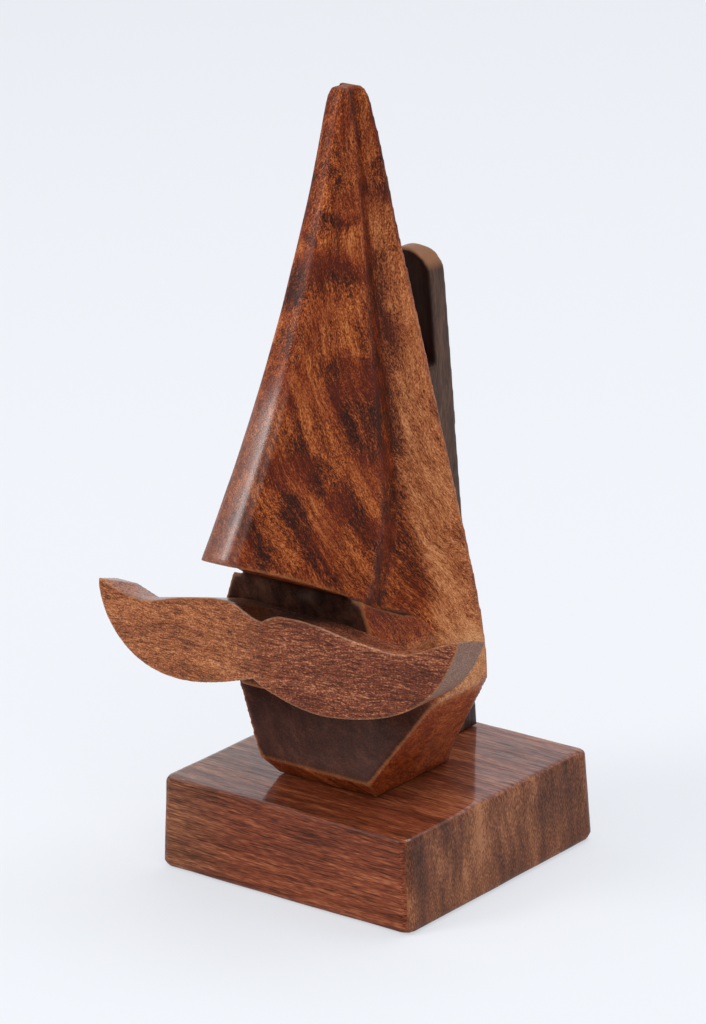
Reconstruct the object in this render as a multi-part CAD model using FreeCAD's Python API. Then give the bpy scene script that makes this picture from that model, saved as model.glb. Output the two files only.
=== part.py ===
import FreeCAD, Part
import math
import os

from FreeCAD import Vector

# Spectacle holder carved from hardwood: a long nose with cheeks, lip and chin on a square base,
# a moustache board glued to the lip, and a slotted post behind the nose that takes the folded arms.
# Millimetres. Origin: centre of the base underside. The nose points to -Y, +X is to the right of
# someone facing it, +Z is up.

# Base block
base_width = 64.0
base_depth = 62.6
base_height = 20.0
base_side_taper = 0.7
base_corner_radius = 1.9
base_top_edge_radius = 1.0
base_bottom_edge_radius = 1.5

# Back of the nose block: a flat plane that leans forward as it rises
back_at_base = 8.3
back_lean = 0.065

# Nose: flat-fronted ridge, from the level of the mouth to the top
nose_top_height = 162.0
mouth_height = 65.0
ridge_half_width_low = 4.4
ridge_half_width_high = 2.5
ridge_reach_low = 57.0
ridge_reach_high = 7.2
ridge_hollow = 6.0
ridge_edge_radius_low = 3.0
ridge_edge_radius_high = 1.6
nose_cap_height = 3.4
nose_cap_shrink = 0.74

# Nose wings: the rear edges of the nose's two sides, flaring forward near the nostrils
wing_half_width_low = 15.0
wing_half_width_high = 2.2
wing_reach_low = 13.0
wing_reach_high = 4.8
wing_flare = 6.5
wing_flare_height = 22.0

# Groove between a wing and the cheek behind it
groove_depth_low = 8.0
groove_depth_high = 2.2
groove_inset_low = 1.4
groove_inset_high = 0.3

# Cheeks: thin flanges that run up both sides of the nose
cheek_height = 41.0
cheek_round_height = 9.5
cheek_half_width = 23.8
cheek_half_width_at_mouth = 21.8
cheek_half_width_at_top = 3.3
cheek_edge_thickness = 1.8

# Nostril cut: an arched slanting cut under the nose that turns down behind the lip
nose_tip_reach = 48.0
nose_tip_height = 76.4
nostril_rear_reach = 20.0
nostril_rear_height = 62.7
nostril_arch = 0.9
recess_shoulder_reach = 12.5
recess_wall_reach = 6.0
recess_wall_height = 52.0

# Upper lip: the flat block that carries the moustache
lip_reach = 24.0
lip_half_width_top = 15.1
lip_top_height = 68.0
lip_half_width_widest = 20.5
lip_widest_height = 53.0
lip_half_width_bottom = 15.0

# Jaw and chin: slope forward from the cheeks, then taper down to a small bevelled foot on the base
jaw_top_height = 48.0
jaw_top_thickness = 1.6
jaw_reach_left = 15.8
jaw_reach_right = 10.8
chin_bevel_height = 4.4
chin_half_width_low = 14.1
chin_reach_low = 20.1
foot_half_width = 12.4
foot_reach = 16.0

# Moustache board: flat back on the lip, front swept back on both sides of a soft middle ridge
moustache_height = 60.7
moustache_thickness = 11.0
moustache_sweep_left = 0.115
moustache_sweep_right = 0.026
moustache_lean = 0.03
moustache_left_span = 46.9
moustache_right_span = 47.6
bottom_notch_left = 2.5
bottom_notch_drop = 12.5

# Wing outlines: share of the wing's span, and height above the notch in the middle of the top edge
left_wing_top = (
    (0.14, 1.7), (0.205, 2.5), (0.305, 1.8), (0.55, -1.1), (0.72, -3.3), (0.82, -3.3), (1.0, -0.8))
left_wing_bottom = ((1.0, -3.2), (0.96, -8.6), (0.825, -14.8), (0.59, -17.8), (0.34, -16.6), (0.13, -13.7))
right_wing_top = ((0.14, 2.3), (0.215, 2.3), (0.41, 1.1), (0.61, -0.2), (0.71, -0.1), (0.85, 2.3), (1.0, 5.2))
right_wing_bottom = (
    (1.0, 4.2), (0.93, -2.9), (0.87, -6.8), (0.7, -12.5), (0.47, -15.8), (0.27, -16.6), (0.12, -15.4))

# Bevel planed along the top, sloping down towards the lip: its rear edge, as for the wing outlines
bevel_slope = 0.3
bevel_left = ((1.08, -3.2), (0.88, -3.3), (0.76, -5.2), (0.5, -2.7), (0.3, -1.0), (0.2, -0.7))
bevel_right = (
    (0.085, -1.2), (0.2, -1.0), (0.305, -1.4), (0.47, -2.6), (0.625, -3.2), (0.965, 1.9), (1.05, 3.4))

# Temple post: leaning strip behind the nose with a round-topped finger
post_half_width_low = 4.75
post_half_width_high = 5.8
post_depth = 20.0
post_lean = 0.0907
finger_thickness = 5.4
slot_floor_height = 101.0
slot_floor_radius = 1.5
post_top_height = 125.3
finger_sanding = 1.2

# Wood screws from below
screw_radius = 1.9
screw_head_radius = 3.8
screw_head_height = 2.2
screw_head_recess = 0.6
screw_length = 32.0
screw_point_length = 5.0
screw_slot_width = 1.0
screw_slot_depth = 1.0
screw_clearance = 0.1
front_screw_reach = 9.5
screw_spacing = 11.5
post_screw_inset = 9.5

# Glue dowels
dowel_radius = 3.0
dowel_clearance = 0.1
moustache_dowel_length = 14.0
moustache_dowel_half_spacing = 8.0
moustache_dowel_drop = 7.5
post_dowel_length = 20.0
post_dowel_low_height = 44.0
post_dowel_spacing = 38.0

# Construction allowance for cutting tools that run past the wood
overrun = 40.0


def blend(low, high, share):
    return low + (high - low) * share


def climb(height):
    """Share of the way from the mouth to the top of the nose."""
    return (height - mouth_height) / (nose_top_height - mouth_height)


def back_plane(height):
    """Y of the leaning back of the nose block at one height."""
    return back_at_base - back_lean * (height - base_height)


def post_rear(height):
    """Y of the rear of the temple post, which leans a little more than the nose."""
    return back_at_base + post_depth - post_lean * (height - base_height)


def finger_front(height):
    return post_rear(height) - finger_thickness


def rounded_outline(corners, radii, height):
    """Closed wire at one height. A corner with a radius is eased by two flats, and the others stay sharp."""
    points = []
    count = len(corners)
    for index in range(count):
        corner = Vector(corners[index][0], corners[index][1], height)
        before = Vector(corners[index - 1][0], corners[index - 1][1], height)
        after = Vector(corners[(index + 1) % count][0], corners[(index + 1) % count][1], height)
        if radii[index] > 0:
            points += eased_corner(before, corner, after, radii[index])
        else:
            points.append(corner)
    return Part.makePolygon(points + points[:1])


def eased_corner(before, corner, after, radius):
    """Start, middle and end of the round on one corner, kept within the sides it joins."""
    inward = (before - corner).normalize()
    outward = (after - corner).normalize()
    half_angle = inward.getAngle(outward) / 2
    longest = 0.45 * min((before - corner).Length, (after - corner).Length)
    setback = min(radius / math.tan(half_angle), longest)
    fitted = setback * math.tan(half_angle)
    bisector = (inward + outward).normalize()
    centre = corner + bisector * (fitted / math.sin(half_angle))
    return corner + inward * setback, centre - bisector * fitted, corner + outward * setback


def mirrored(half):
    """Closed outline from the points of its right half, listed from front to back."""
    return list(half) + [(-x, y) for x, y in reversed(half)]


def ridge_reach(height):
    share = climb(height)
    hollow = 4 * ridge_hollow * share * (1 - share)
    return blend(ridge_reach_low, ridge_reach_high, share) - hollow


def wing_reach(height):
    fade = max(0.0, 1 - (height - mouth_height) / wing_flare_height)
    return blend(wing_reach_low, wing_reach_high, climb(height)) + wing_flare * fade ** 2


def cheek_width(height):
    """Half-width of the cheeks: upright at the jaw, then one straight taper to the top."""
    if height <= cheek_height + cheek_round_height:
        return cheek_half_width
    return blend(cheek_half_width_at_mouth, cheek_half_width_at_top, climb(height))


def nose_section(height, shrink):
    """One level cut through nose, grooves and cheeks; shrink draws it in towards the top's middle."""
    share = climb(height)
    wing_x = blend(wing_half_width_low, wing_half_width_high, share)
    groove_x = wing_x - blend(groove_inset_low, groove_inset_high, share)
    groove_y = blend(groove_depth_low, groove_depth_high, share) - wing_reach(height)
    cheek_x = cheek_width(height)
    back_y = back_plane(height)
    half = (
        (blend(ridge_half_width_low, ridge_half_width_high, share), -ridge_reach(height)),
        (wing_x, -wing_reach(height)),
        (groove_x, groove_y),
        (cheek_x, back_y - cheek_edge_thickness),
        (cheek_x, back_y),
    )
    middle_y = (back_y - ridge_reach(height)) / 2
    half = [(x * shrink, middle_y + (y - middle_y) * shrink) for x, y in half]
    ridge_radius = blend(ridge_edge_radius_low, ridge_edge_radius_high, share)
    radii = (ridge_radius, 0, 0, 0, 0)
    return rounded_outline(mirrored(half), radii + radii[::-1], height)


def nose_and_cheeks():
    """Smooth loft through level sections, from the jaw to the rounded top."""
    cap_start = nose_top_height - nose_cap_height
    span = cap_start - mouth_height
    levels = [cheek_height, cheek_height + cheek_round_height, mouth_height]
    levels += [mouth_height + span * share for share in (0.13, 0.32, 0.55, 0.78, 1.0)]
    wires = [nose_section(level, 1.0) for level in levels]
    wires.append(nose_section(nose_top_height - nose_cap_height / 4, blend(1.0, nose_cap_shrink, 0.4)))
    wires.append(nose_section(nose_top_height, nose_cap_shrink))
    return Part.makeLoft(wires, True, False)


def extrude_across(points_and_arcs, half_width):
    """Solid from a closed side profile of (y, z) edges, extruded along X about the middle plane."""
    face = Part.Face(Part.Wire(points_and_arcs))
    face.translate(Vector(-half_width, 0, 0))
    return face.extrude(Vector(2 * half_width, 0, 0))


def side_point(y, z):
    return Vector(0, y, z)


def nostril_space():
    """The space under the nose: below the arched cut and in front of the wall behind the lip."""
    slope = (nose_tip_height - nostril_rear_height) / (nose_tip_reach - nostril_rear_reach)
    tip = side_point(-nose_tip_reach, nose_tip_height)
    rear = side_point(-nostril_rear_reach, nostril_rear_height)
    crown = (tip + rear) * 0.5 + Vector(0, 0, nostril_arch)
    ahead = side_point(-nose_tip_reach - overrun, nose_tip_height + slope * overrun)
    drop = slope * (nostril_rear_reach - recess_shoulder_reach)
    shoulder = side_point(-recess_shoulder_reach, nostril_rear_height - drop)
    wall_top = side_point(-recess_wall_reach, recess_wall_height)
    bulge = (recess_shoulder_reach - recess_wall_reach) * 0.2
    bend = (shoulder + wall_top) * 0.5 + Vector(0, bulge, bulge)
    wall_foot = side_point(-recess_wall_reach, cheek_height)
    floor_front = side_point(-nose_tip_reach - overrun, cheek_height)
    edges = [
        Part.makeLine(ahead, tip),
        Part.Arc(tip, crown, rear).toShape(),
        Part.makeLine(rear, shoulder),
        Part.Arc(shoulder, bend, wall_top).toShape(),
        Part.makeLine(wall_top, wall_foot),
        Part.makeLine(wall_foot, floor_front),
        Part.makeLine(floor_front, ahead),
    ]
    return extrude_across(edges, overrun)


def lip():
    """Six-sided block with a flat front, from the chin up to the underside of the nose."""
    half = (
        (lip_half_width_bottom, cheek_height),
        (lip_half_width_widest, lip_widest_height),
        (lip_half_width_top, lip_top_height),
    )
    corners = [Vector(x, -lip_reach, z) for x, z in mirrored(half)]
    face = Part.Face(Part.makePolygon(corners + corners[:1]))
    return face.extrude(Vector(0, lip_reach, 0))


def level_rectangle(half_width, front_y, rear_y, height):
    corners = [
        Vector(-half_width, front_y, height),
        Vector(half_width, front_y, height),
        Vector(half_width, rear_y, height),
        Vector(-half_width, rear_y, height),
    ]
    return Part.makePolygon(corners + corners[:1])


def jaw_outline():
    """Level outline where the jaw meets the chin; its front is a little further forward on the left."""
    rear_y = back_plane(cheek_height)
    corners = [
        Vector(-cheek_half_width, -jaw_reach_left, cheek_height),
        Vector(cheek_half_width, -jaw_reach_right, cheek_height),
        Vector(cheek_half_width, rear_y, cheek_height),
        Vector(-cheek_half_width, rear_y, cheek_height),
    ]
    return Part.makePolygon(corners + corners[:1])


def jaw_and_chin():
    """Flat-sided tapers: from the cheeks forward to the jaw, down to the bevel, and down to the foot."""
    bevel_top = base_height + chin_bevel_height
    rear_y = back_plane(jaw_top_height)
    foot = level_rectangle(foot_half_width, -foot_reach, back_plane(base_height), base_height)
    low = level_rectangle(chin_half_width_low, -chin_reach_low, back_plane(bevel_top), bevel_top)
    top = level_rectangle(cheek_half_width, rear_y - jaw_top_thickness, rear_y, jaw_top_height)
    return Part.makeLoft([foot, low, jaw_outline(), top], True, True)


def upright_cylinder(radius, x, y, bottom, top):
    return Part.makeCylinder(radius, top - bottom, Vector(x, y, bottom))


def level_cylinder(radius, x, z, front_y, rear_y):
    return Part.makeCylinder(radius, rear_y - front_y, Vector(x, front_y, z), Vector(0, 1, 0))


def screw_places():
    """Y of the three screws, all on the middle plane."""
    return {
        "nose_screw_front": -front_screw_reach,
        "nose_screw_rear": -front_screw_reach + screw_spacing,
        "post_screw": post_rear(base_height) - post_screw_inset,
    }


def screw_hole(y):
    """Clear hole with a countersink that the screw's head seats in."""
    top = screw_head_recess + screw_length + screw_clearance
    hole = upright_cylinder(screw_radius + screw_clearance, 0, y, 0, top)
    sink = Part.makeCone(
        screw_head_radius, screw_radius, screw_head_height, Vector(0, y, screw_head_recess))
    mouth = upright_cylinder(screw_head_radius, 0, y, 0, screw_head_recess)
    return hole.fuse([sink, mouth])


def wood_screw(y):
    """Countersunk screw, head down, with a plain shank and a pointed end."""
    head_top = screw_head_recess + screw_head_height
    tip = screw_head_recess + screw_length
    shank_top = tip - screw_point_length
    head = Part.makeCone(
        screw_head_radius, screw_radius, screw_head_height, Vector(0, y, screw_head_recess))
    shank = upright_cylinder(screw_radius, 0, y, head_top, shank_top)
    point = Part.makeCone(screw_radius, 0.2 * screw_radius, screw_point_length, Vector(0, y, shank_top))
    slot = Part.makeBox(
        2 * screw_head_radius, screw_slot_width, screw_slot_depth,
        Vector(-screw_head_radius, y - screw_slot_width / 2, screw_head_recess))
    return head.fuse([shank, point]).cut(slot)


def dowel(x, z, front_y, length):
    return level_cylinder(dowel_radius, x, z, front_y, front_y + length)


def dowel_hole(x, z, front_y, length):
    return level_cylinder(
        dowel_radius + dowel_clearance, x, z, front_y - dowel_clearance, front_y + length + dowel_clearance)


def moustache_dowels():
    """Place of each moustache dowel: half its length in the lip, half in the board."""
    z = moustache_height - moustache_dowel_drop
    front_y = -lip_reach - moustache_dowel_length / 2
    return {
        "moustache_dowel_left": (-moustache_dowel_half_spacing, z, front_y, moustache_dowel_length),
        "moustache_dowel_right": (moustache_dowel_half_spacing, z, front_y, moustache_dowel_length),
    }


def post_dowels():
    """Place of each post dowel: half its length in the nose block, half in the post."""
    places = {}
    heights = {"post_dowel_lower": post_dowel_low_height}
    heights["post_dowel_upper"] = post_dowel_low_height + post_dowel_spacing
    for name, z in heights.items():
        places[name] = (0, z, back_plane(z) - post_dowel_length / 2, post_dowel_length)
    return places


def base_outline(height, inset):
    """Level outline of the base, drawn in from the largest one by an inset."""
    x = base_width / 2 - inset
    y = base_depth / 2 - inset
    corners = [(-x, -y), (x, -y), (x, y), (-x, y)]
    return rounded_outline(corners, [base_corner_radius] * 4, height)


def base_block():
    """Slightly tapered block whose bottom and top edges are sanded round."""
    wires = []
    for turn in (0, 45, 90):
        drop = base_bottom_edge_radius * (1 - math.cos(math.radians(turn)))
        inset = base_bottom_edge_radius * (1 - math.sin(math.radians(turn)))
        wires.append(base_outline(drop, inset))
    for turn in (90, 45, 0):
        drop = base_top_edge_radius * (1 - math.cos(math.radians(turn)))
        inset = base_top_edge_radius * (1 - math.sin(math.radians(turn)))
        wires.append(base_outline(base_height - drop, base_side_taper + inset))
    block = Part.makeLoft(wires, True, True)
    return block.cut([screw_hole(y) for y in screw_places().values()])


def nose_block():
    space = nostril_space()
    nose = nose_and_cheeks().cut(space)
    block = nose.fuse([lip().common(space), jaw_and_chin()]).removeSplitter()
    places = screw_places()
    holes = [screw_hole(places["nose_screw_front"]), screw_hole(places["nose_screw_rear"])]
    holes += [dowel_hole(*place) for place in moustache_dowels().values()]
    holes += [dowel_hole(*place) for place in post_dowels().values()]
    return block.cut(holes)


def outline_curve(points):
    curve = Part.BSplineCurve()
    curve.interpolate(points)
    return curve.toShape()


def wing_place(side, offset):
    """Point on the flat of the lip: side is -1 for the left wing and 1 for the right one."""
    span = moustache_left_span if side < 0 else moustache_right_span
    return Vector(side * span * offset[0], -lip_reach, moustache_height + offset[1])


def moustache_outline():
    """Closed outline of the board on the flat of the lip."""
    notch = wing_place(1, (0, 0))
    bottom_notch = Vector(-bottom_notch_left, -lip_reach, moustache_height - bottom_notch_drop)
    left_top = [wing_place(-1, offset) for offset in left_wing_top]
    left_bottom = [wing_place(-1, offset) for offset in left_wing_bottom]
    right_top = [wing_place(1, offset) for offset in right_wing_top]
    right_bottom = [wing_place(1, offset) for offset in right_wing_bottom]
    edges = [
        outline_curve([notch] + left_top),
        Part.makeLine(left_top[-1], left_bottom[0]),
        outline_curve(left_bottom + [bottom_notch]),
        outline_curve([bottom_notch] + right_bottom[::-1]),
        Part.makeLine(right_bottom[0], right_top[-1]),
        outline_curve(right_top[::-1] + [notch]),
    ]
    return Part.Wire(edges)


def moustache_front():
    """Wedge that shapes the front: swept back to both sides and leaning back a little as it rises."""
    wires = []
    reach = 2 * overrun
    for rise in (-overrun, overrun):
        middle_y = -lip_reach - moustache_thickness + moustache_lean * rise
        left_y = middle_y + moustache_sweep_left * reach
        right_y = middle_y + moustache_sweep_right * reach
        plan = [(0, middle_y), (reach, right_y), (reach, 0), (-reach, 0), (-reach, left_y)]
        corners = [Vector(x, y, moustache_height + rise) for x, y in plan]
        wires.append(Part.makePolygon(corners + corners[:1]))
    return Part.makeLoft(wires, True, True)


def moustache_bevel():
    """Wood planed off along the top, so that it slopes down towards the lip."""
    rear_edge = [wing_place(-1, offset) for offset in bevel_left]
    rear_edge += [wing_place(1, offset) for offset in bevel_right]
    wires = []
    for point in rear_edge:
        behind = point + Vector(0, overrun, -bevel_slope * overrun)
        ahead = point + Vector(0, -overrun, bevel_slope * overrun)
        above = point + Vector(0, overrun, overrun)
        wires.append(Part.makePolygon([behind, ahead, above, behind]))
    return Part.makeLoft(wires, True, True)


def moustache():
    """Board cut to the wing outlines, with its front swept back and its top bevelled."""
    board = Part.Face(moustache_outline()).extrude(Vector(0, -overrun, 0))
    holes = [dowel_hole(*place) for place in moustache_dowels().values()]
    return board.common(moustache_front()).cut([moustache_bevel()] + holes)


def temple_post():
    """Side profile with the slot, then the finger's top rounded across its width."""
    top = post_top_height
    corner = side_point(finger_front(slot_floor_height), slot_floor_height)
    floor_end = corner - Vector(0, slot_floor_radius, 0)
    wall_start = side_point(
        finger_front(slot_floor_height + slot_floor_radius), slot_floor_height + slot_floor_radius)
    ease = slot_floor_radius * (1 - math.sqrt(0.5))
    bend = corner + Vector(0, -ease, ease)
    edges = [
        Part.makeLine(
            side_point(back_plane(base_height), base_height),
            side_point(back_plane(slot_floor_height), slot_floor_height)),
        Part.makeLine(side_point(back_plane(slot_floor_height), slot_floor_height), floor_end),
        Part.Arc(floor_end, bend, wall_start).toShape(),
        Part.makeLine(wall_start, side_point(finger_front(top), top)),
        Part.makeLine(side_point(finger_front(top), top), side_point(post_rear(top) - finger_sanding, top)),
        Part.makeLine(
            side_point(post_rear(top) - finger_sanding, top),
            side_point(post_rear(top - finger_sanding), top - finger_sanding)),
        Part.makeLine(
            side_point(post_rear(top - finger_sanding), top - finger_sanding),
            side_point(post_rear(base_height), base_height)),
        Part.makeLine(side_point(post_rear(base_height), base_height),
                      side_point(back_plane(base_height), base_height)),
    ]
    low = post_half_width_low
    high = post_half_width_high
    strip = extrude_across(edges, low + high)
    shoulder = top - high
    outline = [
        Part.makeLine(Vector(-low, 0, base_height), Vector(low, 0, base_height)),
        Part.makeLine(Vector(low, 0, base_height), Vector(high, 0, shoulder)),
        Part.Arc(Vector(high, 0, shoulder), Vector(0, 0, top), Vector(-high, 0, shoulder)).toShape(),
        Part.makeLine(Vector(-high, 0, shoulder), Vector(-low, 0, base_height)),
    ]
    arch = Part.Face(Part.Wire(outline)).extrude(Vector(0, back_at_base + post_depth + overrun, 0))
    holes = [screw_hole(screw_places()["post_screw"])]
    holes += [dowel_hole(*place) for place in post_dowels().values()]
    return strip.common(arch).cut(holes)


def all_parts():
    parts = {
        "base_block": base_block(),
        "nose_block": nose_block(),
        "moustache": moustache(),
        "temple_post": temple_post(),
    }
    for name, y in screw_places().items():
        parts[name] = wood_screw(y)
    for name, place in list(moustache_dowels().items()) + list(post_dowels().items()):
        parts[name] = dowel(*place)
    return parts


def main():
    os.makedirs("parts", exist_ok=True)
    for name, shape in all_parts().items():
        if len(shape.Solids) == 1:
            shape = shape.Solids[0]
        box = shape.BoundBox
        print(name, "solids", len(shape.Solids), "valid", shape.isValid(), "volume", round(shape.Volume, 1),
              "box", [round(value, 2) for value in
                      (box.XMin, box.XMax, box.YMin, box.YMax, box.ZMin, box.ZMax)])
        shape.exportStep("parts/" + name + ".step")


main()
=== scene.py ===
import math

import bpy
from mathutils import Matrix, Vector

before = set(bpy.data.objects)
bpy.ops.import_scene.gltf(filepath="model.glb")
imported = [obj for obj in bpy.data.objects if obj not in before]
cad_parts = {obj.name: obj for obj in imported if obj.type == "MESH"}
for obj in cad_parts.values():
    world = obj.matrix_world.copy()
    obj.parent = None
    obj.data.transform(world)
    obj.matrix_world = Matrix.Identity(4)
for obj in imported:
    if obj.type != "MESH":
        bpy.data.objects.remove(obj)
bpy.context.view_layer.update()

millimetre = 0.001

# Camera, in millimetres and degrees: the photograph's own viewing angle
camera_azimuth = 38.8437
camera_elevation = 18.6517
camera_roll = -1.62576
camera_distance = 1000.0
camera_aim_height = 80.0
camera_aim_right = -3.119
camera_aim_up = -6.1135
camera_lens = 176.18
camera_sensor = 36.0

# Nearest and farthest distance that the camera sees, in metres
camera_reach = (0.05, 50.0)

# Studio: pale paper below, a white tent behind and above, and a dim room in front
paper_colour = (0.845, 0.868, 0.908, 1.0)
paper_glow = 0.6
paper_reach = 6.0
world_light = 0.72
tent_strength = 0.95
tent_way = (-0.50, 0.62, 0.60)
tent_fade = 0.25
room_strength = 0.06

# Lamps: place, width and height in metres, power in watts, and colour
lamp_aim = (0.0, 0.0, 0.08)
front_lamp = ((-0.50, -0.90, 0.72), 0.40, 0.6, 6.2, (1.0, 0.98, 0.96))
side_lamp = ((1.2, -0.75, 0.9), 0.9, 0.9, 4.5, (1.0, 0.99, 0.98))
overhead_lamp = ((0.2, 0.45, 1.4), 0.9, 0.9, 7.0, (1.0, 1.0, 1.0))

# Hand finish: halvings of the piece's box that give its mesh size, smoothing passes, and depth of the
# uneven hand work in millimetres
nose_finish = (8, 6, 0.2)
base_finish = (7, 2, 0.2)
moustache_finish = (8, 3, 0.12)
post_finish = (8, 16, 0.12)
mesh_box_share = 0.98
smoothing_share = 0.5
unevenness_spacing = 14.0

# Wood under its varnish, and screw steel
wood_gloss = 0.08
wood_bump_strength = 0.6
steel_bump_strength = 0.4
steel_bump_depth = 0.03
edge_samples = 6

# Figure of the nose's wood: soft streaks from one point to another, and their width, in millimetres
nose_dark_marks = [
    ((4.5, -6, 146), (6, -0.5, 147), 1.2),
    ((4.5, -4.5, 142), (7, 0, 141), 3.5),
    ((-2.5, -12, 145.5), (3, -11, 144.5), 1.8),
    ((0.5, -16.5, 134.5), (3, -14.5, 137.5), 2.4),
    ((3, -14.5, 137.5), (5, -8.5, 136.5), 2.4),
    ((-1, -21.5, 123), (1, -19, 128), 5),
    ((1, -19, 128), (4, -15.5, 129.5), 4.5),
    ((4, -15.5, 129.5), (6.5, -9, 125.5), 4),
    ((7, -17, 109), (9.5, -16.5, 95), 5),
    ((9, -11.5, 106), (11, -12, 92), 5),
    ((4, -36, 93), (11.5, -27, 69.5), 3.5),
    ((6, -29, 94.5), (13, -16, 76), 4.5),
    ((1.5, -43, 84.5), (6.5, -41, 75.5), 3.5),
]
nose_light_marks = [
    ((2, -16.5, 133.5), (5, -10.5, 132), 4.5),
    ((4, -20, 121), (6, -13.5, 121), 5.5),
    ((4.5, -22, 115), (6, -22.5, 104), 6),
    ((3, -38.5, 91.5), (8.5, -33.5, 74.5), 4),
    ((8.5, -26.5, 84), (14, -19, 68.5), 4),
    ((12, -3.5, 85.5), (18.5, 1, 75), 6),
    ((17.5, -3, 67.5), (23, 2, 50.5), 5),
    ((8, -1.5, 134), (11.5, -0.5, 118), 5),
]

# Shade down the groove between the nose and the right cheek, in the same form
groove_shade_marks = [
    ((6.5, -3.5, 128), (8, -3.5, 115), 2.5),
    ((8, -3.5, 115), (10, -4.5, 98), 2.8),
    ((10, -4.5, 98), (13, -7, 72), 4),
    ((13, -7, 72), (18, -5.5, 62), 5),
]

# Share of a mark's width that has its full strength
mark_core = 0.2

# Grain of the nose: its turn in degrees, and how fast it bends below a height in millimetres
figure_turn = -38.84
grain_bend = 0.0067
grain_bend_height = 125.0


class Nodes:
    """Short way to add shader nodes and links to one material or world."""

    def __init__(self, owner):
        owner.use_nodes = True
        self.tree = owner.node_tree
        self.tree.nodes.clear()

    def add(self, kind, **settings):
        node = self.tree.nodes.new(kind)
        for key, value in settings.items():
            setattr(node, key, value)
        return node

    def link(self, source, target):
        self.tree.links.new(source, target)

    def feed(self, socket, value):
        """Link a node's output to the socket, or set a plain value on it."""
        if isinstance(value, bpy.types.NodeSocket):
            self.link(value, socket)
        else:
            socket.default_value = value

    def math(self, operation, first, second=0.0, third=0.0, clamp=False):
        node = self.add("ShaderNodeMath", operation=operation, use_clamp=clamp)
        self.feed(node.inputs[0], first)
        self.feed(node.inputs[1], second)
        self.feed(node.inputs[2], third)
        return node.outputs[0]

    def product(self, first, *others):
        for other in others:
            first = self.math("MULTIPLY", first, other)
        return first

    def plus(self, value, mask, weight):
        """Value raised or lowered by a weighted mask."""
        return self.math("MULTIPLY_ADD", mask, weight, value)

    def total(self, start, *weighted):
        """Sum of a start value and of (noise, weight) pairs, each noise counted from its middle value."""
        result = start
        for source, weight in weighted:
            centred = self.math("SUBTRACT", source, 0.5)
            result = self.plus(result, centred, weight)
        return result

    def vector(self, operation, first, second=(0.0, 0.0, 0.0)):
        node = self.add("ShaderNodeVectorMath", operation=operation)
        self.feed(node.inputs[0], first)
        self.feed(node.inputs[1], second)
        return node.outputs["Value"] if operation in ("LENGTH", "DOT_PRODUCT") else node.outputs[0]

    def scaled(self, vector, amount):
        node = self.add("ShaderNodeVectorMath", operation="SCALE")
        self.feed(node.inputs[0], vector)
        self.feed(node.inputs["Scale"], amount)
        return node.outputs[0]

    def split(self, vector):
        node = self.add("ShaderNodeSeparateXYZ")
        self.link(vector, node.inputs[0])
        return node.outputs[0], node.outputs[1], node.outputs[2]

    def combine(self, x, y, z):
        node = self.add("ShaderNodeCombineXYZ")
        for socket, value in zip(node.inputs, (x, y, z)):
            self.feed(socket, value)
        return node.outputs[0]

    def mapping(self, source, turn=(0.0, 0.0, 0.0), scale=(1.0, 1.0, 1.0), move=(0.0, 0.0, 0.0)):
        node = self.add("ShaderNodeMapping")
        self.link(source, node.inputs["Vector"])
        node.inputs["Location"].default_value = move
        node.inputs["Rotation"].default_value = [math.radians(angle) for angle in turn]
        node.inputs["Scale"].default_value = scale
        return node.outputs[0]

    def noise(self, source, scale, detail, roughness, colour=False):
        node = self.add("ShaderNodeTexNoise")
        self.link(source, node.inputs["Vector"])
        node.inputs["Scale"].default_value = scale
        node.inputs["Detail"].default_value = detail
        node.inputs["Roughness"].default_value = roughness
        return node.outputs["Color"] if colour else node.outputs[0]

    def drawn_noise(self, source, scale, detail, roughness=0.6, **shift):
        """Noise with a scale of its own along each axis, so that it draws out into fibres or bands."""
        return self.noise(self.mapping(source, scale=scale, **shift), 1.0, detail, roughness)

    def ramp(self, source, *stops):
        """Colour along a row of (position, colour) stops."""
        node = self.add("ShaderNodeValToRGB")
        self.link(source, node.inputs[0])
        elements = node.color_ramp.elements
        elements[0].position, elements[0].color = stops[0]
        elements[1].position, elements[1].color = stops[-1]
        for position, colour in stops[1:-1]:
            elements.new(position).color = colour
        return node.outputs[0]

    def spread(self, source, low, high, to_low=0.0, to_high=1.0):
        """Smooth step from one value to another while the source goes from low to high."""
        node = self.add("ShaderNodeMapRange", interpolation_type="SMOOTHSTEP")
        self.feed(node.inputs["Value"], source)
        node.inputs["From Min"].default_value = low
        node.inputs["From Max"].default_value = high
        node.inputs["To Min"].default_value = to_low
        node.inputs["To Max"].default_value = to_high
        return node.outputs[0]

    def mix(self, share, first, second):
        node = self.add("ShaderNodeMix", data_type="RGBA")
        self.feed(node.inputs[0], share)
        self.feed(node.inputs[6], first)
        self.feed(node.inputs[7], second)
        return node.outputs[2]

    def tint(self, colour, mask, share, other):
        """Colour turned towards another one where the mask is, by at most the share."""
        return self.mix(self.math("MULTIPLY", mask, share), colour, other)

    def show(self, shader, output="ShaderNodeOutputMaterial"):
        self.link(shader.outputs[0], self.add(output).inputs["Surface"])


def rgb(red, green, blue):
    """Colour from 0 to 255 values as seen on a screen."""
    def linear(value):
        value = value / 255
        return value / 12.92 if value <= 0.04045 else ((value + 0.055) / 1.055) ** 2.4
    return (linear(red), linear(green), linear(blue), 1.0)


def new_material(name):
    material = bpy.data.materials.new(name)
    return material, Nodes(material)


def solid_place(nodes):
    """Place in the wood, in millimetres."""
    metres = nodes.add("ShaderNodeTexCoord").outputs["Object"]
    return nodes.mapping(metres, scale=(1.0 / millimetre, 1.0 / millimetre, 1.0 / millimetre))


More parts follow.
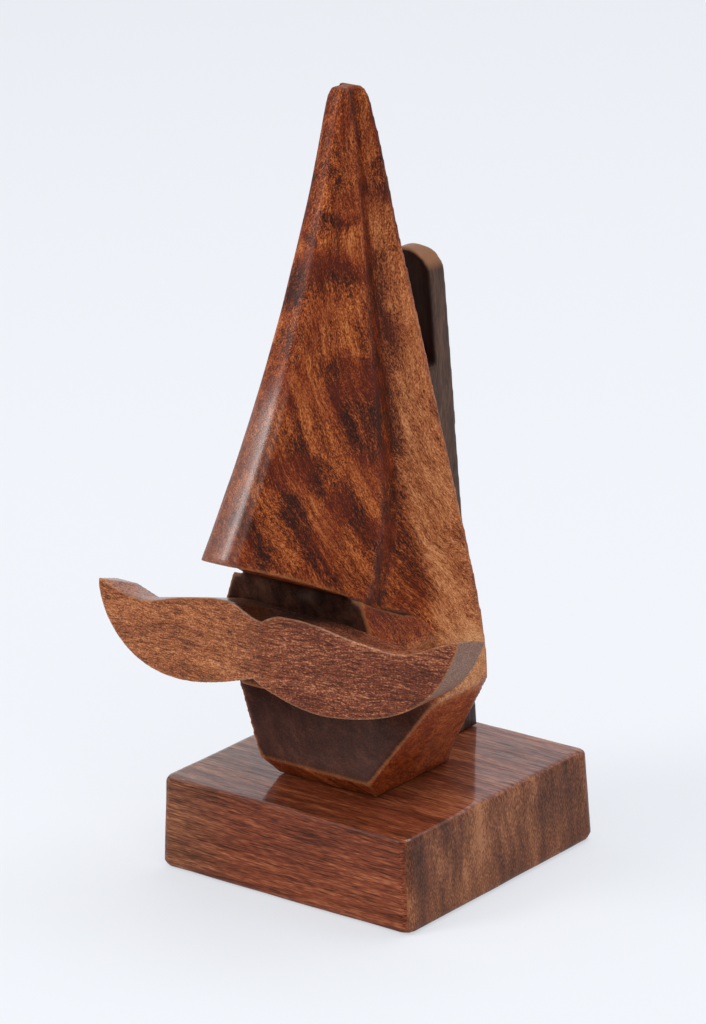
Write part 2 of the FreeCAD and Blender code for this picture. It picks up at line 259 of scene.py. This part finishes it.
def eased_normal(nodes, radius):
    """The surface's direction, turning smoothly over its edges as rubbed wood does."""
    bevel = nodes.add("ShaderNodeBevel", samples=edge_samples)
    bevel.inputs["Radius"].default_value = radius * millimetre
    return bevel.outputs["Normal"]


def drifting(nodes, place, scale, amount):
    """Place moved about by a slow noise, so that bands and streaks wander."""
    drift = nodes.noise(place, scale, 2.0, 0.5, colour=True)
    drift = nodes.vector("SUBTRACT", drift, (0.5, 0.5, 0.5))
    return nodes.vector("ADD", place, nodes.scaled(drift, amount))


def mark(nodes, place, start, end, width):
    """Soft streak round the line from start to end."""
    line = Vector(end) - Vector(start)
    offset = nodes.vector("SUBTRACT", place, start)
    share = nodes.vector("DOT_PRODUCT", offset, line / line.length_squared)
    share = nodes.math("MULTIPLY", share, 1.0, clamp=True)
    nearest = nodes.scaled(line, share)
    gap = nodes.vector("LENGTH", nodes.vector("SUBTRACT", offset, nearest))
    return nodes.spread(gap, mark_core * width, width, 1.0, 0.0)


def strongest_mark(nodes, place, marks):
    """At each place, the strength of the mark that is strongest there."""
    result = mark(nodes, place, *marks[0])
    for entry in marks[1:]:
        result = nodes.math("MAXIMUM", result, mark(nodes, place, *entry))
    return result


def edge_wear_and_highlight(nodes, low=0.56, high=0.70):
    """Share of outward edges, from the mesh's own curvature: lightened for wear, and on some pieces partly as
    painted highlight.
    """
    pointed = nodes.add("ShaderNodeNewGeometry").outputs["Pointiness"]
    return nodes.spread(pointed, low, high)


def finish_wood(nodes, normal, colour, roughness, height, bump_depth, coat, coat_roughness):
    """Oiled wood under a thin varnish, which gives most of the gloss."""
    shader = nodes.add("ShaderNodeBsdfPrincipled")
    nodes.link(colour, shader.inputs["Base Color"])
    nodes.link(roughness, shader.inputs["Roughness"])
    shader.inputs["Specular IOR Level"].default_value = wood_gloss
    nodes.feed(shader.inputs["Coat Weight"], coat)
    shader.inputs["Coat Roughness"].default_value = coat_roughness
    bump = nodes.add("ShaderNodeBump")
    nodes.link(height, bump.inputs["Height"])
    bump.inputs["Strength"].default_value = wood_bump_strength
    bump.inputs["Distance"].default_value = bump_depth * millimetre
    nodes.link(normal, bump.inputs["Normal"])
    nodes.link(bump.outputs[0], shader.inputs["Normal"])
    nodes.link(normal, shader.inputs["Coat Normal"])
    nodes.show(shader)


class NoseZones:
    """Zones of the carved nose: masks from a place's height and depth and from the way it faces.

    Heights and depths are in millimetres, and ways go from -1 to 1.
    """

    def __init__(self, nodes, place, normal):
        _, y, z = nodes.split(place)
        way_x, way_y, way_z = nodes.split(normal)
        side_way = nodes.math("ABSOLUTE", way_x)
        self.cheek = nodes.product(nodes.spread(y, -6.5, -3.0), nodes.spread(z, 150.0, 126.0))
        self.pale_cheek = nodes.product(self.cheek, nodes.spread(z, 122.0, 96.0, 0.55, 1.0))
        # Painted shade: the groove's wall beside the nose, which faces away from the lamps
        self.groove = nodes.product(
            nodes.spread(way_y, -0.12, 0.12), nodes.spread(side_way, 0.6, 0.85),
            nodes.spread(z, 56.0, 62.0), nodes.spread(y, 2.0, -2.0))
        self.ridge = nodes.product(
            nodes.spread(way_y, -0.35, -0.85), nodes.spread(z, 66.0, 72.0),
            nodes.spread(y, -6.5, -9.5), nodes.spread(z, 114.0, 98.0))
        # Painted shade: the lip's front in the recess under the nose, above the moustache
        self.lip_painted_shade = nodes.product(
            nodes.spread(y, -25.5, -24.5), nodes.spread(y, -8.0, -12.0),
            nodes.spread(z, 50.0, 53.0), nodes.spread(z, 72.0, 66.0), nodes.spread(side_way, 0.75, 0.55))
        # Painted shade: the chin's front under the moustache
        self.shaded_chin_front = nodes.product(
            nodes.spread(way_y, -0.55, -0.75), nodes.spread(z, 53.0, 50.0), nodes.spread(way_z, -0.30, -0.10))
        self.chin_side = nodes.product(nodes.spread(side_way, 0.55, 0.75), nodes.spread(z, 44.0, 40.0))
        self.jaw = nodes.product(
            nodes.spread(side_way, 0.80, 0.95), nodes.spread(z, 55.0, 49.0), nodes.spread(z, 38.0, 41.0))
        # Pale rim along the nose's lower edge: partly wear, partly painted highlight
        self.rim_wear_and_highlight = nodes.product(
            edge_wear_and_highlight(nodes, 0.51, 0.55), nodes.spread(z, 78.0, 74.0), nodes.spread(y, -8.0, -12.0))


def nose_grain(nodes, place):
    """Place along the nose's grain, which runs down the nose and bends away towards the cheeks."""
    turned = nodes.mapping(place, turn=(0.0, 0.0, figure_turn))
    across, depth, height = nodes.split(turned)
    below = nodes.math("MAXIMUM", nodes.math("SUBTRACT", grain_bend_height, height), 0.0)
    bent = nodes.plus(across, nodes.math("MULTIPLY", below, below), -grain_bend)
    return nodes.combine(bent, depth, height)


def nose_figure(nodes, tone, place, zones):
    """Tone of the plain wood with the placed streaks, the paler cheek and painted shade down the groove."""
    rough_place = drifting(nodes, drifting(nodes, place, 0.13, 5.0), 0.6, 2.2)
    tone = nodes.plus(tone, strongest_mark(nodes, rough_place, nose_dark_marks), -0.22)
    tone = nodes.plus(tone, strongest_mark(nodes, rough_place, nose_light_marks), 0.09)
    tone = nodes.plus(tone, zones.cheek, 0.06)
    # Painted shade down the groove, from its wall and from its listed streaks
    groove = nodes.math("MAXIMUM", zones.groove, strongest_mark(nodes, rough_place, groove_shade_marks))
    return nodes.plus(tone, groove, -0.24)


def nose_colour(nodes, tone, place, zones):
    """Red-brown nose with paler cheeks and a darker, greyer ridge front, partly the wood's colour and partly
    painted shade.
    """
    colour = nodes.ramp(
        tone, (0.08, rgb(44, 18, 10)), (0.30, rgb(84, 34, 14)), (0.50, rgb(130, 58, 22)),
        (0.68, rgb(166, 86, 38)), (0.90, rgb(194, 120, 66)))
    redness = nodes.spread(nodes.noise(place, 0.11, 2.0, 0.5), 0.42, 0.62)
    colour = nodes.tint(colour, redness, 0.35, rgb(112, 36, 14))
    cheek_colour = nodes.ramp(
        tone, (0.10, rgb(70, 30, 15)), (0.30, rgb(112, 54, 27)), (0.50, rgb(152, 83, 45)),
        (0.70, rgb(180, 110, 66)), (0.95, rgb(206, 144, 96)))
    colour = nodes.mix(zones.pale_cheek, colour, cheek_colour)
    # Ridge front darker and greyer: partly the wood's own colour, partly painted shade
    return nodes.tint(colour, zones.ridge, 0.3, rgb(92, 60, 46))


def mouth_colour(nodes, colour, tone, chin_tone, mottle, zones):
    """Nose colour with painted shade on the lip and chin front, the chin's sides and jaw laid over it, and
    pale rims.
    """
    # Dark painted shade for the chin's front under the moustache
    shaded_chin_front = nodes.ramp(
        chin_tone, (0.2, rgb(38, 21, 17)), (0.5, rgb(57, 33, 27)), (0.8, rgb(82, 50, 39)))
    # Near-black painted shade for the lip under the nose
    lip_painted_shade = nodes.ramp(
        mottle, (0.40, rgb(12, 8, 7)), (0.52, rgb(34, 22, 18)), (0.65, rgb(58, 40, 31)))
    chin_side = nodes.ramp(
        tone, (0.15, rgb(62, 20, 6)), (0.45, rgb(120, 44, 12)), (0.70, rgb(154, 68, 24)),
        (0.95, rgb(188, 104, 50)))
    jaw = nodes.ramp(
        tone, (0.15, rgb(122, 68, 38)), (0.5, rgb(172, 110, 66)), (0.9, rgb(208, 152, 104)))
    colour = nodes.tint(colour, zones.shaded_chin_front, 0.92, shaded_chin_front)
    colour = nodes.tint(colour, zones.lip_painted_shade, 0.9, lip_painted_shade)
    colour = nodes.tint(colour, zones.chin_side, 0.85, chin_side)
    colour = nodes.tint(colour, zones.jaw, 0.85, jaw)
    return nodes.tint(colour, zones.rim_wear_and_highlight, 0.35, rgb(186, 120, 76))


def nose_coat(nodes, zones):
    """Weight of the varnish: full on the ridge, some on the chin's sides and least on its front."""
    polished = nodes.math("MAXIMUM", zones.ridge, nodes.math("MULTIPLY", zones.chin_side, 0.35))
    gloss = nodes.spread(polished, 0.0, 1.0, 0.12, 1.0)
    return nodes.product(gloss, nodes.spread(zones.shaded_chin_front, 0.0, 1.0, 1.0, 0.2))


def nose_wood():
    """Figured red-brown hardwood."""
    material, nodes = new_material("nose_wood")
    place = solid_place(nodes)
    wandering = drifting(nodes, place, 0.07, 5.0)
    grain = nose_grain(nodes, wandering)
    streaks = nodes.drawn_noise(grain, (0.26, 0.26, 0.03), 4.0)
    thin_streaks = nodes.drawn_noise(grain, (0.9, 0.9, 0.05), 2.0, move=(4.0, 2.0, 1.0))
    fibres = nodes.drawn_noise(grain, (2.8, 2.8, 0.8), 2.0)
    specks = nodes.drawn_noise(grain, (5.5, 5.5, 2.2), 1.0, 0.5)
    mottle = nodes.noise(wandering, 0.28, 4.0, 0.62)
    normal = eased_normal(nodes, 2.2)
    zones = NoseZones(nodes, place, normal)
    plain_tone = nodes.total(
        0.465, (streaks, 0.8), (thin_streaks, 0.75), (fibres, 0.8), (specks, 1.25), (mottle, 0.3))
    tone = nose_figure(nodes, plain_tone, place, zones)
    chin_tone = nodes.total(0.5, (streaks, 0.8), (fibres, 0.6))
    colour = nose_colour(nodes, tone, wandering, zones)
    colour = mouth_colour(nodes, colour, tone, chin_tone, mottle, zones)
    roughness = nodes.spread(mottle, 0.3, 0.7, 0.40, 0.54)
    relief = nodes.plus(fibres, specks, 0.5)
    finish_wood(nodes, normal, colour, roughness, relief, 0.10, nose_coat(nodes, zones), 0.22)
    return material


def base_colour(nodes, tone, x, way_x):
    """Red-brown wood, greyer towards the left and on the right end face, with pale worn edges."""
    red_colour = nodes.ramp(
        tone, (0.10, rgb(54, 26, 14)), (0.35, rgb(92, 44, 27)), (0.55, rgb(124, 60, 36)),
        (0.85, rgb(168, 102, 66)))
    tan_colour = nodes.ramp(
        tone, (0.10, rgb(56, 33, 21)), (0.35, rgb(88, 54, 37)), (0.55, rgb(118, 75, 51)),
        (0.85, rgb(168, 117, 80)))
    greying = nodes.math("MAXIMUM", nodes.spread(x, -8.0, -30.0), nodes.spread(way_x, 0.5, 0.8))
    colour = nodes.tint(red_colour, greying, 0.7, tan_colour)
    return nodes.tint(colour, edge_wear_and_highlight(nodes), 0.3, rgb(176, 124, 92))


def base_wood():
    """Straight-grained block: the grain runs along X, with broad bands that show on the end faces."""
    material, nodes = new_material("base_wood")
    place = solid_place(nodes)
    wandering = drifting(nodes, nodes.mapping(place, scale=(0.25, 1.0, 1.0)), 0.10, 5.0)
    bands = nodes.drawn_noise(wandering, (0.05, 0.15, 0.035), 3.0, move=(3.0, 1.7, 0.4))
    lines = nodes.drawn_noise(wandering, (0.10, 0.8, 0.9), 3.0)
    long_fibres = nodes.drawn_noise(place, (0.35, 3.6, 4.6), 2.0)
    end_fibres = nodes.drawn_noise(place, (0.5, 3.6, 1.5), 2.0, turn=(12.0, 0.0, 0.0))
    pores = nodes.drawn_noise(place, (0.14, 2.6, 3.6), 1.0, 0.5, move=(7.0, 3.0, 5.0))
    x, _, _ = nodes.split(place)
    normal = eased_normal(nodes, 0.5)
    way_x, _, way_z = nodes.split(normal)
    end_face = nodes.spread(nodes.math("ABSOLUTE", way_x), 0.5, 0.8)
    fibres = nodes.mix(end_face, long_fibres, end_fibres)
    pore_mask = nodes.product(nodes.spread(pores, 0.56, 0.66), nodes.spread(end_face, 0.9, 0.1))
    steady_lines = nodes.tint(lines, end_face, 0.8, bands)
    tone = nodes.total(0.475, (bands, 0.8), (steady_lines, 0.8), (fibres, 1.05))
    tone = nodes.plus(tone, pore_mask, -0.22)
    # Painted light: the base's top face is made lighter than its sides
    tone = nodes.plus(tone, nodes.spread(way_z, 0.5, 0.9), 0.08)
    colour = base_colour(nodes, tone, x, way_x)
    roughness = nodes.spread(bands, 0.3, 0.7, 0.38, 0.5)
    relief = nodes.plus(fibres, pore_mask, -0.5)
    sheen_lines = nodes.spread(nodes.plus(lines, pore_mask, -0.2), 0.25, 0.60, 0.60, 1.0)
    coat = nodes.product(nodes.spread(way_z, 0.4, 0.9, 0.12, 1.0), sheen_lines)
    finish_wood(nodes, normal, colour, roughness, relief, 0.05, coat, 0.10)
    return material


def moustache_colour(nodes, tone, flecks, right_red_and_shade, notch_shade, end_grain_and_shade):
    """Tan wood turning redder, with painted shade where the wings meet and in part on the grey end, and pale
    rims.
    """
    tan_colour = nodes.ramp(
        tone, (0.10, rgb(76, 38, 19)), (0.35, rgb(120, 65, 35)), (0.55, rgb(152, 86, 49)),
        (0.85, rgb(192, 130, 84)))
    red_colour = nodes.ramp(
        tone, (0.10, rgb(58, 28, 17)), (0.35, rgb(92, 44, 28)), (0.55, rgb(119, 59, 37)),
        (0.85, rgb(186, 124, 86)))
    # Greyer colour of the end faces: partly end grain, partly painted shade
    end_colour = nodes.ramp(
        flecks, (0.3, rgb(92, 68, 57)), (0.5, rgb(124, 94, 79)), (0.7, rgb(158, 124, 104)))
    colour = nodes.mix(right_red_and_shade, tan_colour, red_colour)
    colour = nodes.tint(colour, notch_shade, 0.8, rgb(44, 25, 18))
    colour = nodes.tint(colour, end_grain_and_shade, 0.85, end_colour)
    # Pale rims: partly wear, partly painted highlight
    return nodes.tint(colour, edge_wear_and_highlight(nodes, 0.51, 0.56), 0.3, rgb(196, 142, 100))


def moustache_wood():
    """Open-pored board with its grain along the moustache, tan on the left, redder on the right and darker
    there, partly as painted shade.
    """
    material, nodes = new_material("moustache_wood")
    place = solid_place(nodes)
    wandering = drifting(nodes, place, 0.05, 3.0)
    grain = nodes.mapping(wandering, turn=(0.0, 4.0, 0.0))
    bands = nodes.drawn_noise(grain, (0.035, 0.2, 0.22), 4.0)
    fibres = nodes.drawn_noise(grain, (0.55, 2.0, 3.0), 2.0)
    flecks = nodes.drawn_noise(place, (2.2, 3.4, 5.0), 1.0, 0.5)
    pores = nodes.drawn_noise(grain, (0.24, 1.6, 4.2), 1.0, 0.5, move=(2.0, 5.0, 1.0))
    pore_mask = nodes.spread(pores, 0.55, 0.63)
    x, _, _ = nodes.split(place)
    normal = eased_normal(nodes, 0.5)
    way_x, _, way_z = nodes.split(normal)
    tone = nodes.total(0.495, (bands, 0.9), (fibres, 0.85), (flecks, 1.1))
    tone = nodes.plus(tone, pore_mask, -0.25)
    # Right wing: redder wood, and darker partly as painted shade
    right_red_and_shade = nodes.spread(nodes.plus(x, bands, 20.0), -4.0, 20.0)
    # Painted shade on the upward faces where the two wings meet, under the nose
    middle = nodes.spread(nodes.math("ABSOLUTE", x), 16.0, 8.0)
    notch_shade = nodes.product(nodes.spread(way_z, 0.35, 0.7), middle)
    # End faces greyer: partly end grain, partly painted shade
    end_grain_and_shade = nodes.spread(way_x, 0.45, 0.75)
    colour = moustache_colour(nodes, tone, flecks, right_red_and_shade, notch_shade, end_grain_and_shade)
    roughness = nodes.spread(fibres, 0.3, 0.7, 0.44, 0.56)
    relief = nodes.plus(fibres, pore_mask, -0.7)
    coat = nodes.spread(way_z, 0.35, 0.8, 0.12, 1.0)
    finish_wood(nodes, normal, colour, roughness, relief, 0.10, coat, 0.25)
    return material


def post_wood():
    """Dark strip with its grain upright; painted light on its rounded top, painted shade on its front in the
    slot.
    """
    material, nodes = new_material("post_wood")
    place = solid_place(nodes)
    wandering = drifting(nodes, place, 0.08, 5.0)
    bands = nodes.drawn_noise(wandering, (0.35, 0.3, 0.02), 3.0)
    fibres = nodes.drawn_noise(wandering, (2.4, 2.4, 0.25), 2.0)
    _, _, z = nodes.split(place)
    normal = eased_normal(nodes, 0.8)
    _, way_y, way_z = nodes.split(normal)
    tone = nodes.total(0.5, (bands, 1.0), (fibres, 0.7))
    colour = nodes.ramp(
        tone, (0.10, rgb(30, 18, 14)), (0.35, rgb(54, 35, 27)), (0.55, rgb(78, 53, 40)),
        (0.85, rgb(114, 82, 62)))
    # Painted shade: the post's front face, inside the slot, darkened nearly to black
    colour = nodes.tint(colour, nodes.spread(way_y, -0.4, -0.7), 0.9, rgb(28, 14, 12))
    # Painted light: the post's rounded top made lighter
    top_painted_light = nodes.product(nodes.spread(way_z, 0.15, 0.6), nodes.spread(z, 104.0, 116.0))
    colour = nodes.tint(colour, top_painted_light, 0.65, rgb(158, 108, 74))
    # Pale edges: partly wear, partly painted highlight where the edges catch the light
    colour = nodes.tint(colour, edge_wear_and_highlight(nodes), 0.35, rgb(150, 104, 76))
    roughness = nodes.spread(bands, 0.3, 0.7, 0.38, 0.5)
    finish_wood(nodes, normal, colour, roughness, fibres, 0.08, 0.2, 0.18)
    return material


def dowel_wood():
    """Pale plain dowel rod with its grain along the pin."""
    material, nodes = new_material("dowel_wood")
    place = solid_place(nodes)
    fibres = nodes.drawn_noise(place, (2.5, 0.2, 2.5), 3.0)
    colour = nodes.ramp(
        fibres, (0.25, rgb(168, 128, 84)), (0.5, rgb(202, 166, 118)), (0.75, rgb(222, 190, 146)))
    roughness = nodes.spread(fibres, 0.3, 0.7, 0.55, 0.7)
    normal = eased_normal(nodes, 0.2)
    finish_wood(nodes, normal, colour, roughness, fibres, 0.06, 0.0, 0.3)
    return material


def screw_steel():
    """Turned steel with fine rings and a few dull patches."""
    material, nodes = new_material("screw_steel")
    place = solid_place(nodes)
    rings = nodes.drawn_noise(place, (0.4, 0.4, 9.0), 2.0)
    patches = nodes.noise(place, 0.9, 3.0, 0.6)
    colour = nodes.ramp(
        patches, (0.3, rgb(120, 116, 110)), (0.6, rgb(176, 174, 170)), (0.8, rgb(198, 197, 194)))
    shader = nodes.add("ShaderNodeBsdfPrincipled")
    nodes.link(colour, shader.inputs["Base Color"])
    shader.inputs["Metallic"].default_value = 1.0
    nodes.link(nodes.spread(patches, 0.3, 0.7, 0.26, 0.46), shader.inputs["Roughness"])
    bump = nodes.add("ShaderNodeBump")
    nodes.link(rings, bump.inputs["Height"])
    bump.inputs["Strength"].default_value = steel_bump_strength
    bump.inputs["Distance"].default_value = steel_bump_depth * millimetre
    nodes.link(bump.outputs[0], shader.inputs["Normal"])
    nodes.show(shader)
    return material


def give(material, *names):
    """Put one material on the named pieces."""
    for name in names:
        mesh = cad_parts[name].data
        mesh.materials.clear()
        mesh.materials.append(material)


def hand_finish(name, finish):
    """Soften every edge of one piece and leave its faces a little uneven, as hand sanding does."""
    halvings, passes, unevenness = finish
    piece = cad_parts[name]
    remesh = piece.modifiers.new("even_mesh", "REMESH")
    remesh.mode = "SHARP"
    remesh.octree_depth = halvings
    remesh.scale = mesh_box_share
    remesh.use_remove_disconnected = False
    remesh.use_smooth_shade = True
    sanding = piece.modifiers.new("sanding", "SMOOTH")
    sanding.factor = smoothing_share
    sanding.iterations = passes
    clouds = bpy.data.textures.new(name + "_unevenness", "CLOUDS")
    clouds.noise_scale = unevenness_spacing * millimetre
    clouds.noise_depth = 1
    hand_work = piece.modifiers.new("hand_work", "DISPLACE")
    hand_work.texture = clouds
    hand_work.texture_coords = "LOCAL"
    # At this level the surface only moves inwards, so that the piece stays inside its CAD box
    hand_work.mid_level = 1.0
    hand_work.strength = unevenness * millimetre


def dress():
    """Materials and hand finish of every piece."""
    give(nose_wood(), "nose_block")
    give(base_wood(), "base_block")
    give(moustache_wood(), "moustache")
    give(post_wood(), "temple_post")
    give(screw_steel(), "nose_screw_front", "nose_screw_rear", "post_screw")
    give(dowel_wood(), "moustache_dowel_left", "moustache_dowel_right",
         "post_dowel_lower", "post_dowel_upper")
    hand_finish("nose_block", nose_finish)
    hand_finish("base_block", base_finish)
    hand_finish("moustache", moustache_finish)
    hand_finish("temple_post", post_finish)


def make_camera():
    """Camera at the photograph's viewing angle, rolled about its own line of sight."""
    azimuth = math.radians(camera_azimuth)
    elevation = math.radians(camera_elevation)
    roll = math.radians(camera_roll)
    back = Vector((math.sin(azimuth) * math.cos(elevation), -math.cos(azimuth) * math.cos(elevation),
                   math.sin(elevation)))
    level = Vector((math.cos(azimuth), math.sin(azimuth), 0.0))
    upright = back.cross(level)
    right = level * math.cos(roll) + upright * math.sin(roll)
    up = upright * math.cos(roll) - level * math.sin(roll)
    aim = Vector((0.0, 0.0, camera_aim_height)) + right * camera_aim_right + up * camera_aim_up
    data = bpy.data.cameras.new("camera")
    data.lens = camera_lens
    data.sensor_width = camera_sensor
    data.sensor_fit = "AUTO"
    data.clip_start, data.clip_end = camera_reach
    camera = bpy.data.objects.new("camera", data)
    bpy.context.scene.collection.objects.link(camera)
    turn = Matrix((right, up, back)).transposed().to_4x4()
    camera.matrix_world = Matrix.Translation((aim + back * camera_distance) * millimetre) @ turn
    bpy.context.scene.camera = camera


def soft_lamp(name, place, width, height, power, colour):
    """Rectangular lamp that points at the object."""
    data = bpy.data.lights.new(name, "AREA")
    data.shape = "RECTANGLE"
    data.size = width
    data.size_y = height
    data.energy = power
    data.color = colour
    lamp = bpy.data.objects.new(name, data)
    lamp.location = place
    lamp.rotation_mode = "QUATERNION"
    lamp.rotation_quaternion = (Vector(lamp_aim) - Vector(place)).to_track_quat("-Z", "Y")
    bpy.context.scene.collection.objects.link(lamp)


def seen_directly(nodes):
    """1 for what is looked at or seen in a gloss or through glass, and 0 for what only gives light."""
    rays = nodes.add("ShaderNodeLightPath")
    seen = nodes.math("MAXIMUM", rays.outputs["Is Camera Ray"], rays.outputs["Is Glossy Ray"])
    return nodes.math("MAXIMUM", seen, rays.outputs["Is Transmission Ray"])


def mixed_shader(nodes, share, first, second):
    """First shader with a share of the second one."""
    mix = nodes.add("ShaderNodeMixShader")
    nodes.link(share, mix.inputs[0])
    nodes.link(first.outputs[0], mix.inputs[1])
    nodes.link(second.outputs[0], mix.inputs[2])
    return mix


def paper_material():
    """Pale paper that shows as its own colour and keeps the object's soft shadow."""
    material, nodes = new_material("paper_floor")
    paper = nodes.add("ShaderNodeBsdfDiffuse")
    paper.inputs["Color"].default_value = paper_colour
    glow = nodes.add("ShaderNodeEmission")
    glow.inputs["Color"].default_value = paper_colour
    glow_share = nodes.math("MULTIPLY", seen_directly(nodes), paper_glow)
    nodes.show(mixed_shader(nodes, glow_share, paper, glow))
    return material


def make_floor():
    """Sheet of paper under the object, wide enough to fill the picture."""
    mesh = bpy.data.meshes.new("floor")
    reach = paper_reach
    corners = [(-reach, -reach, 0.0), (reach, -reach, 0.0), (reach, reach, 0.0), (-reach, reach, 0.0)]
    mesh.from_pydata(corners, [], [(0, 1, 2, 3)])
    mesh.materials.append(paper_material())
    floor = bpy.data.objects.new("floor", mesh)
    bpy.context.scene.collection.objects.link(floor)


def make_world():
    """Even fill light; in a gloss, a white tent shows behind and above, and a dim room in front."""
    world = bpy.data.worlds.new("studio")
    bpy.context.scene.world = world
    nodes = Nodes(world)
    lighting = nodes.add("ShaderNodeBackground")
    lighting.inputs["Color"].default_value = paper_colour
    lighting.inputs["Strength"].default_value = world_light
    showing = nodes.add("ShaderNodeBackground")
    showing.inputs["Color"].default_value = paper_colour
    way = nodes.add("ShaderNodeTexCoord").outputs["Generated"]
    towards_tent = nodes.vector("DOT_PRODUCT", way, Vector(tent_way).normalized())
    strength = nodes.spread(towards_tent, -tent_fade, tent_fade, room_strength, tent_strength)
    nodes.link(strength, showing.inputs["Strength"])
    nodes.show(mixed_shader(nodes, seen_directly(nodes), lighting, showing), "ShaderNodeOutputWorld")


def make_studio():
    """Paper, surroundings and lamps."""
    make_floor()
    make_world()
    soft_lamp("front", *front_lamp)
    soft_lamp("side", *side_lamp)
    soft_lamp("overhead", *overhead_lamp)
    bpy.context.scene.view_settings.view_transform = "Standard"


dress()
make_studio()
make_camera()
